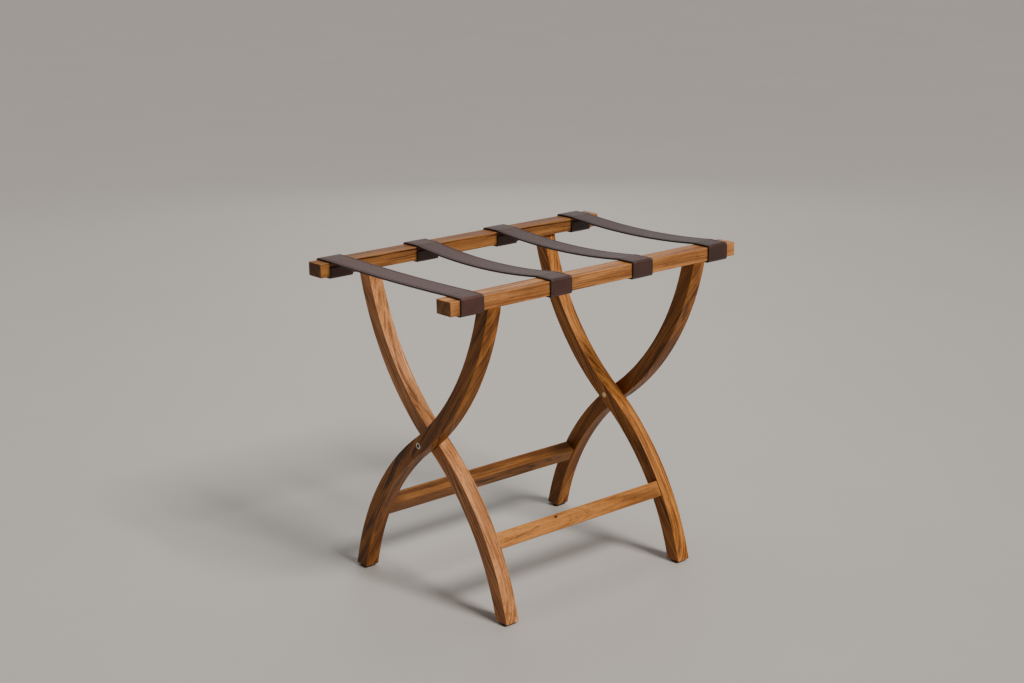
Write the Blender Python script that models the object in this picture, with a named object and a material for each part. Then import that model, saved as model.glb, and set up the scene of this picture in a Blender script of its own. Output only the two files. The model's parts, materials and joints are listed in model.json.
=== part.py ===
"""Folding luggage rack: two crossed wooden frames that turn on two bolts, with four leather straps.

Frame: +X runs along the rails, -Y is the front, +Z is up, and the origin is on the floor in the middle.
The outer frame holds the front rail and stands on the back feet. The inner frame holds the back rail,
stands on the front feet, and turns about the pivot line. All lengths are in metres.
"""
import math

import bmesh
import bpy
from mathutils import Matrix, Vector

# Driving dimensions
GAP = 0.0003                     # left between two pieces that touch
RACK_HEIGHT = 0.600              # floor to the top of the rails
PIVOT_HEIGHT = 0.288
RAIL_LENGTH = 0.664
RAIL_DEPTH = 0.038               # along Y
RAIL_HEIGHT = 0.025
RAIL_SPACING = 0.370             # between the rails' centre lines
LEG_WIDTH = 0.028                # along X
LEG_DEPTH = 0.030                # across the leg, in the plane that it curves in
LEG_RADIUS = 0.478               # of the centre line of both halves of a leg
LEG_SLOPE = math.radians(54.4)   # of the leg at the pivot, from the vertical
OUTER_LEG_X = 0.2402
LEG_GAP = 0.0014                  # between an outer leg and its inner leg
INNER_LEG_X = OUTER_LEG_X - LEG_WIDTH - LEG_GAP
GLIDE_THICKNESS = 0.004
GLIDE_RADIUS = 0.0095
GLIDE_TAPER = 0.0010             # of the radius, toward the floor
STRETCHER_HEIGHT = 0.132         # of its centre line, over the floor
STRETCHER_DEPTH = 0.026          # across the leg
STRETCHER_WIDTH = 0.029          # along the leg
WOOD_EDGE = 0.0018               # rounding of the wooden pieces
RAIL_EDGE = 0.0025

STRAP_WIDTH = 0.0485
STRAP_THICKNESS = 0.0034
STRAP_CENTRES = (-0.2890, -0.0965, 0.0945, 0.2845)
STRAP_SAGS = (0.0025, 0.0105, 0.0095, 0.0085)
STRAP_TAIL = 0.70                # share of the rail's inner face that the tail covers
MIDDLE_LENGTH = 0.034            # of the strap's middle piece, from its hinge to mid span

BOLT_RADIUS = 0.0030
BOLT_HEAD_RADIUS = 0.0060
BOLT_HEAD_THICKNESS = 0.0030
BOLT_HEAD_DEPTH = 0.0004         # of the head's face, below the leg's face
HEX_RADIUS = 0.0028
HEX_DEPTH = 0.0020
HEX_SIDES = 6
SHANK_OVERLAP = 0.0010           # of the bolt's shank and head, where they are joined
NUT_RADIUS = 0.0045
NUT_LENGTH = 0.0220
NUT_CAP_RADIUS = 0.0055
NUT_CAP_THICKNESS = 0.0016
NUT_CAP_TAPER = 0.0006
NUT_OVERLAP = 0.0005             # of the nut's barrel and cap, where they are joined
NUT_SET_BACK = 0.0020            # of the barrel's open end, below the leg's face
NUT_FLOOR = 0.0040               # from the inner leg's inner face to the end of the nut's bore
NUT_ROOM = 0.0060                # from the bolt's tip to the end of a full length of nut
WASHER_RADIUS = 0.0090
DOWEL_RADIUS = 0.0045
DOWEL_IN_RAIL = 0.0150
DOWEL_IN_LEG = 0.0220
DOWEL_SET_IN = 0.0020            # of a rail's dowels, from the leg's centre line toward the middle
TENON_RADIUS = 0.0045
TENON_IN_LEG = 0.0160
TENON_IN_STRETCHER = 0.0200

ARC_STEPS = 10
CORNER_STEPS = 4
STRAP_STEPS = 6
ROUND_SIDES = 24
FINE_SIDES = 28
HEAD_SIDES = 32
ROUNDED_TURN = math.radians(50)  # an edge that turns by more is rounded
SHARP_TURN = math.radians(35)    # an edge that turns by more is shaded sharp
OVERSHOOT = 0.010                # of a cutting shape, past the face that it cuts

# Worked out from the driving dimensions
RAIL_TOP = RACK_HEIGHT
RAIL_BOTTOM = RACK_HEIGHT - RAIL_HEIGHT
RAIL_Y = RAIL_SPACING / 2
INNER_FACE_Y = RAIL_Y - RAIL_DEPTH / 2
STRAP_HINGE_Y = INNER_FACE_Y + RAIL_EDGE
STRAP_HINGE_Z = RAIL_TOP - RAIL_EDGE
PIVOT = Vector((0.0, 0.0, PIVOT_HEIGHT))
FRONT = -1
BACK = 1
ENDS = ((-1, "left"), (1, "right"))

PAINTS = {
    "wood": ((0.23, 0.075, 0.028), 0.38, 0.0),
    "leather": ((0.060, 0.028, 0.024), 0.48, 0.0),
    "brass": ((0.70, 0.50, 0.22), 0.32, 1.0),
    "steel": ((0.62, 0.60, 0.56), 0.30, 1.0),
    "nylon": ((0.025, 0.022, 0.020), 0.50, 0.0),
}


def clear_scene():
    for thing in list(bpy.data.objects):
        bpy.data.objects.remove(thing, do_unlink=True)


def paint(name):
    """A Principled material from the table of finishes, made anew for each piece."""
    colour, roughness, metallic = PAINTS[name]
    material = bpy.data.materials.new(name)
    material.use_nodes = True
    shader = material.node_tree.nodes["Principled BSDF"]
    shader.inputs["Base Color"].default_value = (*colour, 1.0)
    shader.inputs["Roughness"].default_value = roughness
    shader.inputs["Metallic"].default_value = metallic
    material.diffuse_color = (*colour, 1.0)
    return material


def add_object(name, mesh, origin, finish, parent):
    """An object whose mesh is given in world coordinates and whose origin is the given point."""
    mesh.transform(Matrix.Translation(-Vector(origin)))
    thing = bpy.data.objects.new(name, mesh)
    bpy.context.collection.objects.link(thing)
    thing.location = origin
    if finish:
        thing.data.materials.append(paint(finish))
    if parent:
        thing.parent = parent
        thing.matrix_parent_inverse = Matrix.Translation(-parent.location)
    return thing


def add_axis(name, location):
    """An empty on a joint's axis, which the pieces of a moving frame hang on."""
    axis = bpy.data.objects.new(name, None)
    axis.location = location
    bpy.context.collection.objects.link(axis)
    return axis


def prism_mesh(name, outline, x_from, x_to):
    """A closed prism: an outline of (y, z) points carried along X."""
    shape = bmesh.new()
    near = [shape.verts.new((x_from, y, z)) for y, z in outline]
    face = shape.faces.new(near)
    grown = bmesh.ops.extrude_face_region(shape, geom=[face])
    far = [item for item in grown["geom"] if isinstance(item, bmesh.types.BMVert)]
    bmesh.ops.translate(shape, verts=far, vec=(x_to - x_from, 0.0, 0.0))
    bmesh.ops.recalc_face_normals(shape, faces=shape.faces)
    mesh = bpy.data.meshes.new(name)
    shape.to_mesh(mesh)
    shape.free()
    return mesh


def rod_mesh(name, start, end, radius, end_radius=None, sides=ROUND_SIDES):
    """A closed cylinder or cone between two points."""
    start = Vector(start)
    end = Vector(end)
    along = end - start
    turn = along.to_track_quat("Z", "Y").to_matrix().to_4x4()
    shape = bmesh.new()
    bmesh.ops.create_cone(
        shape,
        cap_ends=True,
        segments=sides,
        radius1=radius,
        radius2=radius if end_radius is None else end_radius,
        depth=along.length,
        matrix=Matrix.Translation((start + end) / 2) @ turn,
    )
    mesh = bpy.data.meshes.new(name)
    shape.to_mesh(mesh)
    shape.free()
    return mesh


def soften(thing, width, steps=2):
    """Rounds the edges that turn sharply."""
    bevel = thing.modifiers.new("rounding", "BEVEL")
    bevel.width = width
    bevel.segments = steps
    bevel.limit_method = "ANGLE"
    bevel.angle_limit = ROUNDED_TURN


def shade_round(thing):
    thing.data.shade_smooth()
    thing.data.set_sharp_from_angle(angle=SHARP_TURN)


def boolean(thing, mesh, operation):
    """Cuts or joins another shape, kept as a hidden wire guide with the same origin."""
    guide = add_object(thing.name + "_guide", mesh, thing.location, None, None)
    guide.hide_render = True
    guide.display_type = "WIRE"
    step = thing.modifiers.new(operation.lower(), "BOOLEAN")
    step.operation = operation
    step.solver = "EXACT"
    step.object = guide


def rectangle(y_centre, z_centre, y_size, z_size):
    half_y = y_size / 2
    half_z = z_size / 2
    return [
        (y_centre - half_y, z_centre - half_z),
        (y_centre + half_y, z_centre - half_z),
        (y_centre + half_y, z_centre + half_z),
        (y_centre - half_y, z_centre + half_z),
    ]


def leg_edge(offset, top, bottom):
    """One long edge of a leg that rises toward +Y, as (y, z) points from its foot to its top.

    The centre line is two arcs of one radius, which meet at the pivot with a common tangent. Above
    the pivot the arc's centre is on the upper side of the leg, and below it on the lower side.
    """
    rise = LEG_RADIUS * math.sin(LEG_SLOPE)
    reach = LEG_RADIUS * math.cos(LEG_SLOPE)
    upper = LEG_RADIUS + offset
    lower = LEG_RADIUS - offset
    upper_end = math.asin((PIVOT_HEIGHT + rise - top) / upper)
    lower_end = math.asin((bottom - PIVOT_HEIGHT + rise) / lower)
    points = []
    for step in range(ARC_STEPS):
        angle = lower_end + (LEG_SLOPE - lower_end) * step / ARC_STEPS
        y = reach - lower * math.cos(angle)
        z = PIVOT_HEIGHT - rise + lower * math.sin(angle)
        points.append((y, z))
    for step in range(ARC_STEPS + 1):
        angle = LEG_SLOPE + (upper_end - LEG_SLOPE) * step / ARC_STEPS
        y = upper * math.cos(angle) - reach
        z = PIVOT_HEIGHT + rise - upper * math.sin(angle)
        points.append((y, z))
    return points


def leg_place(height):
    """Centre line of a leg that rises toward +Y: y at a height below the pivot, and slope there."""
    sine = (height - PIVOT_HEIGHT) / LEG_RADIUS + math.sin(LEG_SLOPE)
    slope = math.asin(sine)
    return -LEG_RADIUS * (math.cos(slope) - math.cos(LEG_SLOPE)), slope


def make_leg(name, x_centre, toward, parent, dowel_y):
    """An S-shaped leg that rises toward the front or the back rail."""
    top = RAIL_BOTTOM - GAP
    bottom = GLIDE_THICKNESS + GAP
    front = leg_edge(-LEG_DEPTH / 2, top, bottom)
    back = leg_edge(LEG_DEPTH / 2, top, bottom)
    outline = [(toward * y, z) for y, z in front + back[::-1]]
    mesh = prism_mesh(name, outline, x_centre - LEG_WIDTH / 2, x_centre + LEG_WIDTH / 2)
    leg = add_object(name, mesh, PIVOT, "wood", parent)
    soften(leg, WOOD_EDGE)
    socket = rod_mesh(
        name, (x_centre, dowel_y, top - DOWEL_IN_LEG), (x_centre, dowel_y, top + OVERSHOOT),
        DOWEL_RADIUS + GAP,
    )
    boolean(leg, socket, "DIFFERENCE")
    return leg


def bore_outer_leg(leg, side):
    """The bolt's hole, with a shallow counterbore for its head on the outer face."""
    outer = side * (OUTER_LEG_X + LEG_WIDTH / 2)
    inner = side * (OUTER_LEG_X - LEG_WIDTH / 2)
    seat = outer - side * (BOLT_HEAD_DEPTH + BOLT_HEAD_THICKNESS + GAP)
    past = side * OVERSHOOT
    hole = rod_mesh(leg.name, (inner - past, 0, PIVOT_HEIGHT), (outer + past, 0, PIVOT_HEIGHT),
                    BOLT_RADIUS + GAP)
    boolean(leg, hole, "DIFFERENCE")
    sink = rod_mesh(leg.name, (seat, 0, PIVOT_HEIGHT), (outer + past, 0, PIVOT_HEIGHT),
                    BOLT_HEAD_RADIUS + GAP, sides=HEAD_SIDES)
    boolean(leg, sink, "DIFFERENCE")


def bore_inner_leg(leg, side):
    """The barrel nut's hole, right through the leg."""
    outer = side * (INNER_LEG_X + LEG_WIDTH / 2)
    inner = side * (INNER_LEG_X - LEG_WIDTH / 2)
    past = side * OVERSHOOT
    hole = rod_mesh(leg.name, (inner - past, 0, PIVOT_HEIGHT), (outer + past, 0, PIVOT_HEIGHT),
                    NUT_RADIUS + GAP, sides=FINE_SIDES)
    boolean(leg, hole, "DIFFERENCE")


def bore_for_stretcher(leg, x_face, x_direction, y_centre, z_centre):
    """A blind hole for a stretcher's tenon in the leg's inner face."""
    start = (x_face - x_direction * OVERSHOOT, y_centre, z_centre)
    end = (x_face + x_direction * TENON_IN_LEG, y_centre, z_centre)
    boolean(leg, rod_mesh(leg.name, start, end, TENON_RADIUS + GAP), "DIFFERENCE")


def make_rail(name, toward, parent, leg_x, dowel_y):
    """A bar along X, with a hole in its underside for each leg's dowel."""
    outline = rectangle(toward * RAIL_Y, (RAIL_TOP + RAIL_BOTTOM) / 2, RAIL_DEPTH, RAIL_HEIGHT)
    mesh = prism_mesh(name, outline, -RAIL_LENGTH / 2, RAIL_LENGTH / 2)
    rail = add_object(name, mesh, PIVOT, "wood", parent)
    soften(rail, RAIL_EDGE, 3)
    for side, end in ENDS:
        socket = rod_mesh(
            name, (side * leg_x, dowel_y, RAIL_BOTTOM - OVERSHOOT),
            (side * leg_x, dowel_y, RAIL_BOTTOM + DOWEL_IN_RAIL), DOWEL_RADIUS + GAP,
        )
        boolean(rail, socket, "DIFFERENCE")


def make_stretcher(name, toward, parent, legs, leg_x):
    """A bar between two legs, turned to their slope, with a tenon in each of them."""
    leg_y, slope = leg_place(STRETCHER_HEIGHT)
    y_centre = toward * leg_y
    tilt = toward * slope
    half_depth = STRETCHER_DEPTH / 2
    half_width = STRETCHER_WIDTH / 2
    outline = []
    for across, along in ((-1, -1), (1, -1), (1, 1), (-1, 1)):
        a = across * half_depth
        b = along * half_width
        y = y_centre + a * math.cos(tilt) + b * math.sin(tilt)
        z = STRETCHER_HEIGHT - a * math.sin(tilt) + b * math.cos(tilt)
        outline.append((y, z))
    face = leg_x - LEG_WIDTH / 2
    reach = face - GAP
    mesh = prism_mesh(name, outline, -reach, reach)
    bar = add_object(name, mesh, PIVOT, "wood", parent)
    soften(bar, WOOD_EDGE)
    for (side, end), leg in zip(ENDS, legs):
        hole = rod_mesh(
            name, (side * (reach - TENON_IN_STRETCHER), y_centre, STRETCHER_HEIGHT),
            (side * (reach + OVERSHOOT), y_centre, STRETCHER_HEIGHT), TENON_RADIUS + GAP,
        )
        boolean(bar, hole, "DIFFERENCE")
        bore_for_stretcher(leg, side * face, side, y_centre, STRETCHER_HEIGHT)
        dowel = rod_mesh(
            name, (side * (reach - TENON_IN_STRETCHER + GAP), y_centre, STRETCHER_HEIGHT),
            (side * (face + TENON_IN_LEG - GAP), y_centre, STRETCHER_HEIGHT), TENON_RADIUS,
        )
        pin = add_object(name + "_dowel_" + end, dowel, PIVOT, "wood", parent)
        shade_round(pin)


def make_rail_dowels(name, leg_x, dowel_y, parent):
    low = RAIL_BOTTOM - DOWEL_IN_LEG
    high = RAIL_BOTTOM + DOWEL_IN_RAIL - GAP
    for side, end in ENDS:
        dowel = rod_mesh(name, (side * leg_x, dowel_y, low), (side * leg_x, dowel_y, high), DOWEL_RADIUS)
        shade_round(add_object(name + "_" + end, dowel, PIVOT, "wood", parent))


def make_glides(name, leg_x, y_centre, parent):
    """A round glide under each foot, a little narrower at the floor than at the wood."""
    for side, end in ENDS:
        x = side * leg_x
        mesh = rod_mesh(name, (x, y_centre, 0.0), (x, y_centre, GLIDE_THICKNESS),
                        GLIDE_RADIUS - GLIDE_TAPER, GLIDE_RADIUS, sides=FINE_SIDES)
        shade_round(add_object(name + "_" + end, mesh, PIVOT, "nylon", parent))


def make_bolt(name, side, parent):
    """Head with a hexagon socket, and a shank that ends inside the barrel nut."""
    outer = side * (OUTER_LEG_X + LEG_WIDTH / 2 - BOLT_HEAD_DEPTH)
    under_head = outer - side * BOLT_HEAD_THICKNESS
    tip = side * (INNER_LEG_X + LEG_WIDTH / 2 - NUT_LENGTH + NUT_ROOM)
    head = rod_mesh(name, (under_head, 0, PIVOT_HEIGHT), (outer, 0, PIVOT_HEIGHT),
                    BOLT_HEAD_RADIUS, sides=HEAD_SIDES)
    bolt = add_object(name, head, PIVOT, "steel", parent)
    shank = rod_mesh(name, (under_head + side * SHANK_OVERLAP, 0, PIVOT_HEIGHT),
                     (tip, 0, PIVOT_HEIGHT), BOLT_RADIUS)
    boolean(bolt, shank, "UNION")
    hexagon = rod_mesh(name, (outer - side * HEX_DEPTH, 0, PIVOT_HEIGHT),
                       (outer + side * OVERSHOOT, 0, PIVOT_HEIGHT), HEX_RADIUS, sides=HEX_SIDES)
    boolean(bolt, hexagon, "DIFFERENCE")
    shade_round(bolt)


def make_nut(name, side, parent):
    """A barrel inside the inner leg, open toward the bolt, with a cap proud of the leg's face."""
    face = side * (INNER_LEG_X - LEG_WIDTH / 2)
    open_end = side * (INNER_LEG_X + LEG_WIDTH / 2 - NUT_SET_BACK)
    cap_seat = face - side * GAP
    cap_end = cap_seat - side * NUT_CAP_THICKNESS
    cap = rod_mesh(name, (cap_seat, 0, PIVOT_HEIGHT), (cap_end, 0, PIVOT_HEIGHT),
                   NUT_CAP_RADIUS, NUT_CAP_RADIUS - NUT_CAP_TAPER, sides=FINE_SIDES)
    nut = add_object(name, cap, PIVOT, "brass", parent)
    barrel = rod_mesh(name, (cap_seat - side * NUT_OVERLAP, 0, PIVOT_HEIGHT),
                      (open_end, 0, PIVOT_HEIGHT), NUT_RADIUS, sides=FINE_SIDES)
    boolean(nut, barrel, "UNION")
    bore = rod_mesh(name, (face + side * NUT_FLOOR, 0, PIVOT_HEIGHT),
                    (open_end + side * OVERSHOOT, 0, PIVOT_HEIGHT), BOLT_RADIUS + GAP)
    boolean(nut, bore, "DIFFERENCE")
    shade_round(nut)


def make_washer(name, side, parent):
    """A thin ring round the bolt, between the outer leg and the inner leg."""
    near = side * (INNER_LEG_X + LEG_WIDTH / 2 + GAP)
    far = side * (OUTER_LEG_X - LEG_WIDTH / 2 - GAP)
    ring = rod_mesh(name, (near, 0, PIVOT_HEIGHT), (far, 0, PIVOT_HEIGHT), WASHER_RADIUS, sides=HEAD_SIDES)
    washer = add_object(name, ring, PIVOT, "nylon", parent)
    past = side * OVERSHOOT
    hole = rod_mesh(name, (near - past, 0, PIVOT_HEIGHT), (far + past, 0, PIVOT_HEIGHT), BOLT_RADIUS + GAP)
    boolean(washer, hole, "DIFFERENCE")
    shade_round(washer)


def quarter(y_centre, z_centre, radius, start, y_sign):
    """A quarter turn of points, clockwise as seen with +Y to the right, from a start angle."""
    points = []
    for step in range(CORNER_STEPS + 1):
        angle = math.radians(start - 90 * step / CORNER_STEPS)
        points.append((y_sign * (y_centre + radius * math.cos(angle)), z_centre + radius * math.sin(angle)))
    return points


def wrap_side(offset, side):
    """The path that a strap takes round its rail, at a distance from the wood.

    It starts at the inner top edge, goes over the top, down the outer face and under the rail, and
    ends part of the way up the inner face.
    """
    radius = RAIL_EDGE + offset
    outer = RAIL_Y + RAIL_DEPTH / 2 - RAIL_EDGE
    inner = INNER_FACE_Y + RAIL_EDGE
    top = RAIL_TOP - RAIL_EDGE
    bottom = RAIL_BOTTOM + RAIL_EDGE
    path = [(side * STRAP_HINGE_Y, RAIL_TOP + offset)]
    path += quarter(outer, top, radius, 90, side)
    path += quarter(outer, bottom, radius, 0, side)
    path += quarter(inner, bottom, radius, -90, side)
    path.append((side * (INNER_FACE_Y - offset), RAIL_BOTTOM + STRAP_TAIL * RAIL_HEIGHT))
    return path


def make_wrap(name, x_centre, side, parent):
    """The end of a strap, wrapped round its rail."""
    outline = wrap_side(GAP, side) + wrap_side(GAP + STRAP_THICKNESS, side)[::-1]
    mesh = prism_mesh(name, outline, x_centre - STRAP_WIDTH / 2, x_centre + STRAP_WIDTH / 2)
    add_object(name, mesh, PIVOT, "leather", parent)


def strap_height(y, sag):
    """Underside of a strap between the rails: a parabola, lowest at mid span."""
    share = y / STRAP_HINGE_Y
    return RAIL_TOP + GAP - sag * (1 - share * share)


def make_strap_piece(name, x_centre, side, sag, y_from, y_to, hinge, parent):
    """A length of strap between two distances from mid span, on the side of one rail."""
    under = []
    for step in range(STRAP_STEPS + 1):
        y = y_from + (y_to - y_from) * step / STRAP_STEPS
        under.append((side * y, strap_height(y, sag)))
    over = [(y, z + STRAP_THICKNESS) for y, z in under]
    mesh = prism_mesh(name, under + over[::-1], x_centre - STRAP_WIDTH / 2, x_centre + STRAP_WIDTH / 2)
    return add_object(name, mesh, hinge, "leather", parent)


def make_strap_half(number, x_centre, sag, side, parent):
    """The wrap round one rail, and the two lengths of strap that hang on it."""
    label = "front" if side == FRONT else "back"
    stem = "strap_%d_%s" % (number, label)
    make_wrap(stem + "_wrap", x_centre, side, parent)
    hinge = Vector((x_centre, side * STRAP_HINGE_Y, STRAP_HINGE_Z))
    run = make_strap_piece(stem + "_run", x_centre, side, sag, STRAP_HINGE_Y - GAP,
                           MIDDLE_LENGTH + GAP / 2, hinge, parent)
    middle_z = strap_height(MIDDLE_LENGTH, sag) + STRAP_THICKNESS / 2
    middle_hinge = Vector((x_centre, side * MIDDLE_LENGTH, middle_z))
    make_strap_piece(stem + "_middle", x_centre, side, sag, MIDDLE_LENGTH - GAP / 2, GAP / 2,
                     middle_hinge, run)


def make_frame(kind, toward, leg_x, parent):
    """A rail, two legs, their stretcher, dowels and glides; the legs rise toward the rail."""
    rail_name = "rail_front" if toward == FRONT else "rail_back"
    low_name = "stretcher_back" if toward == FRONT else "stretcher_front"
    centre_line = leg_edge(0.0, RAIL_BOTTOM, GLIDE_THICKNESS)
    foot_y = centre_line[0][0]
    top_y = centre_line[-1][0]
    dowel_y = toward * (top_y - DOWEL_SET_IN)
    legs = []
    for side, end in ENDS:
        leg = make_leg("%s_leg_%s" % (kind, end), side * leg_x, toward, parent, dowel_y)
        if kind == "outer":
            bore_outer_leg(leg, side)
        else:
            bore_inner_leg(leg, side)
        legs.append(leg)
    make_rail(rail_name, toward, parent, leg_x, dowel_y)
    make_rail_dowels(rail_name + "_dowel", leg_x, dowel_y, parent)
    make_stretcher(low_name, toward, parent, legs, leg_x)
    make_glides(kind + "_glide", leg_x, toward * foot_y, parent)


def main():
    clear_scene()
    fold_axis = add_axis("fold_axis", PIVOT)
    make_frame("outer", FRONT, OUTER_LEG_X, None)
    make_frame("inner", BACK, INNER_LEG_X, fold_axis)
    for side, end in ENDS:
        make_bolt("pivot_bolt_" + end, side, None)
        make_washer("pivot_washer_" + end, side, None)
        make_nut("pivot_nut_" + end, side, fold_axis)
    for number, (x_centre, sag) in enumerate(zip(STRAP_CENTRES, STRAP_SAGS), start=1):
        make_strap_half(number, x_centre, sag, FRONT, None)
        make_strap_half(number, x_centre, sag, BACK, fold_axis)


main()
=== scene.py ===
"""Dresses the folding luggage rack: oiled wood, stitched leather straps, metal pivots and a plain stage.

Axes: +X runs along the rails, -Y is the front, +Z is up. All lengths are in metres.
"""
import json
import math
from collections import namedtuple

import bmesh
import bpy
import numpy as np
from mathutils import Matrix, Vector
from bpy.props import FloatProperty, FloatVectorProperty, PointerProperty


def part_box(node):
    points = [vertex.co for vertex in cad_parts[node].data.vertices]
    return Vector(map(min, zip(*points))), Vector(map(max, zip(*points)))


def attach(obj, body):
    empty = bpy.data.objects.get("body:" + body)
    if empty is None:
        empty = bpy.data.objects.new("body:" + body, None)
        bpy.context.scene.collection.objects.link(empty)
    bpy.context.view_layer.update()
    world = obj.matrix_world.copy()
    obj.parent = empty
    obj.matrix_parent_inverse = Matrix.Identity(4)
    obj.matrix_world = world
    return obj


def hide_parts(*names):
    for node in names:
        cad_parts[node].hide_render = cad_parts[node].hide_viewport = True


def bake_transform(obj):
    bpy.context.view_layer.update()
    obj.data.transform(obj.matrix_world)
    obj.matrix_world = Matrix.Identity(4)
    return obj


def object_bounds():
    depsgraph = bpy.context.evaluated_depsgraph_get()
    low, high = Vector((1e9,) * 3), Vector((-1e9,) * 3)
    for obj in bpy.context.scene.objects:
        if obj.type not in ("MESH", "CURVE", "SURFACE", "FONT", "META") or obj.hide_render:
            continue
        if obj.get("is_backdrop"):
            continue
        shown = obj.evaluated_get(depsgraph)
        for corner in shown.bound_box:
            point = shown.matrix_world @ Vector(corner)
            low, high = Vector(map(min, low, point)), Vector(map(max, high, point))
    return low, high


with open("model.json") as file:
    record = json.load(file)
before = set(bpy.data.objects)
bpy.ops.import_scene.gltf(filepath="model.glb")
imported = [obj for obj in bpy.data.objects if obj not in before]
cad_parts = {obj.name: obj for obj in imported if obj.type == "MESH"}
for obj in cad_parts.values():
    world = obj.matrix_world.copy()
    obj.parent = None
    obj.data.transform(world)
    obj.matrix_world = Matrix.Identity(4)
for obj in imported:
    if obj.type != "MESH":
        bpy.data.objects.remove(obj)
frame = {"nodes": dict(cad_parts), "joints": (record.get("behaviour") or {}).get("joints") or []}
CAD_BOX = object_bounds()

bl_info = {
    "name": "Folding luggage rack",
    "version": (1, 0, 0),
    "blender": (4, 5, 0),
    "location": "3D View > Sidebar > Rack",
    "description": "Builds the visible pieces and finishes of a folding luggage rack",
    "category": "Object",
}

# Places read from the frame
RAIL_LOW, RAIL_HIGH = (np.array(corner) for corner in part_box("rail_front"))
RAIL_TOP = RAIL_HIGH[2]
RAIL_BOTTOM = RAIL_LOW[2]
RAIL_OUTER_Y = -RAIL_LOW[1]
RAIL_INNER_Y = -RAIL_HIGH[1]
JOINTS = {joint["name"]: joint for joint in frame["joints"]}
PIVOT_HEIGHT = JOINTS["fold"]["pos_m"][2]
CLEARANCE = 0.0003

FRONT, BACK = -1, 1
SIDES = (("front", FRONT), ("back", BACK))
ENDS = (("left", -1), ("right", 1))
FRAME_BODY = {"front": "outer_frame", "back": "inner_frame"}
SHARED_FINISHES = {}

# Fineness of the surfaces
SHARP_ANGLE = math.radians(40)
BAR_RINGS = 39           # along a rail or stretcher, without its ends
LEG_RINGS = 33           # along each half of a leg
TURNED_SIDES = 48
TACK_SIDES = 32

# Wood
BESIDE_CORNER = 0.35     # from a corner's arc to the points beside it, as a share of its radius
BAR_END = 0.8            # rounding of a bar's ends, as a share of its edges' rounding
LEG_END = 0.7
END_FLAT = 0.0012        # from the rounding to the ring inside it on an end's flat
LEG_CUT_LEAN = 0.9       # of the growth bands in a leg, towards its sides
BORE_CHAMFER = 0.0005

# Metal and nylon
CHAMFER = 0.0003         # of turned corners
FINE_CHAMFER = 0.0002    # of a nut's cap and a glide
TIP_CHAMFER = 0.0005     # of a bolt's tip
HEAD_LIP = 0.0007        # rolled edge of a bolt's head
SOCKET_RIMS = (1.28, 1.20)     # of the dished rim round a socket, as shares of its radius
SOCKET_DISH = 0.0002     # depth of each step of that rim
SOCKET_CONE = 0.0005     # of the drilled point under the socket
NUT_CROWN = 0.0006       # of the dome on a nut's cap
NUT_BLIND = 0.0015       # from under the cap to the closed end of the bore
BORE_PLAY = 0.0001
GLIDE_TAPER = 0.86       # radius of a glide at the floor, as a share of its full radius
GLIDE_EDGE = 0.0008
GLIDE_TOP = 0.002        # width of the flat ring on a glide's top
TACK_RISE = 0.42         # height of a tack's dome, as a share of its radius
TACK_STEM = 0.3          # radius of its stem, as the same share
TACK_LENGTH = 0.009
TACK_POINT = 0.002
TACK_RIM = 0.0004
TACK_OUT = 0.45          # from a strap's middle to a tack, as a share of half its width
TACK_GAP = 0.0001

# Leather and stitches
STRAP_PAINTED_LIGHT = (1.18, 1.0, 0.92, 0.74)     # painted light and shade on the leather of each strap, from the left
EASE_LENGTH = 0.012      # over which a strap's slope grows where it leaves the rail
BEND_LENGTH = 0.020      # from a strap's hinge to the second point given for its run
CURL_LENGTH = 0.028      # either side of a strap's middle joint
STRAP_CROWN = 0.00018
GROOVE_HALF = 0.0011     # half the width of the groove under a row of stitches
MIDDLE_INSET = 0.003     # from a row of stitches to the evenly spaced points between the rows
GROOVE_SPREAD = 0.8      # of its soft sides, as a share of its half width
GROOVE_DEPTH = 0.00045
UNDER_HALF = 0.0016      # of the same groove on the underside
UNDER_DEPTH = 0.00020
PAINT_FADE = 0.7         # of the edge's paint where the edge meets the faces
SEAM_DEPTH = 0.00022     # of the line between the two layers, on a strap's edge
SEAM_TURN = 0.22         # half the width of that line, as an angle on the round edge
TAIL_END = 0.9           # rounding of a tail's end, as a share of the edges' rounding
TAIL_CLEAR = 0.004       # from the last stitch to the tail's end
THREAD_SUNK = 0.00040    # of the stitches' centres below the leather's face
THREAD_UNDER = 0.00006   # of the same centres above its underside
STITCH_RINGS = 5
STITCH_SIDES = 6
STITCH_SLANT = 0.00025
STITCH_TAPER = 1.86      # a stitch would close to a point at 2

# Stage
FLOOR_HALF = 40.0
CAMERA_PLACE = (-1.97968, -2.32706, 1.27963)
CAMERA_YAW, CAMERA_PITCH, CAMERA_ROLL = 0.696334, -0.270749, -0.014207
CAMERA_LENS = 60.82
LIGHTS_AIM = (0.0, 0.0, 0.4)
AMBIENT = 0.07
SEEN_BEYOND = 0.42       # added for the view past the floor's edge, to match the floor

# One piece's cut from the log: distance of its figured side from the pith, its place in the log,
# its shade, which is the board's own tone with painted light and shade (paler and pinker for the
# sheen on lit pieces, darker and more olive on pieces in shade), the contrast of its figure, and its
# knots.
WoodCut = namedtuple("WoodCut", "pith seed shade contrast knots", defaults=((),))
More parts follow.
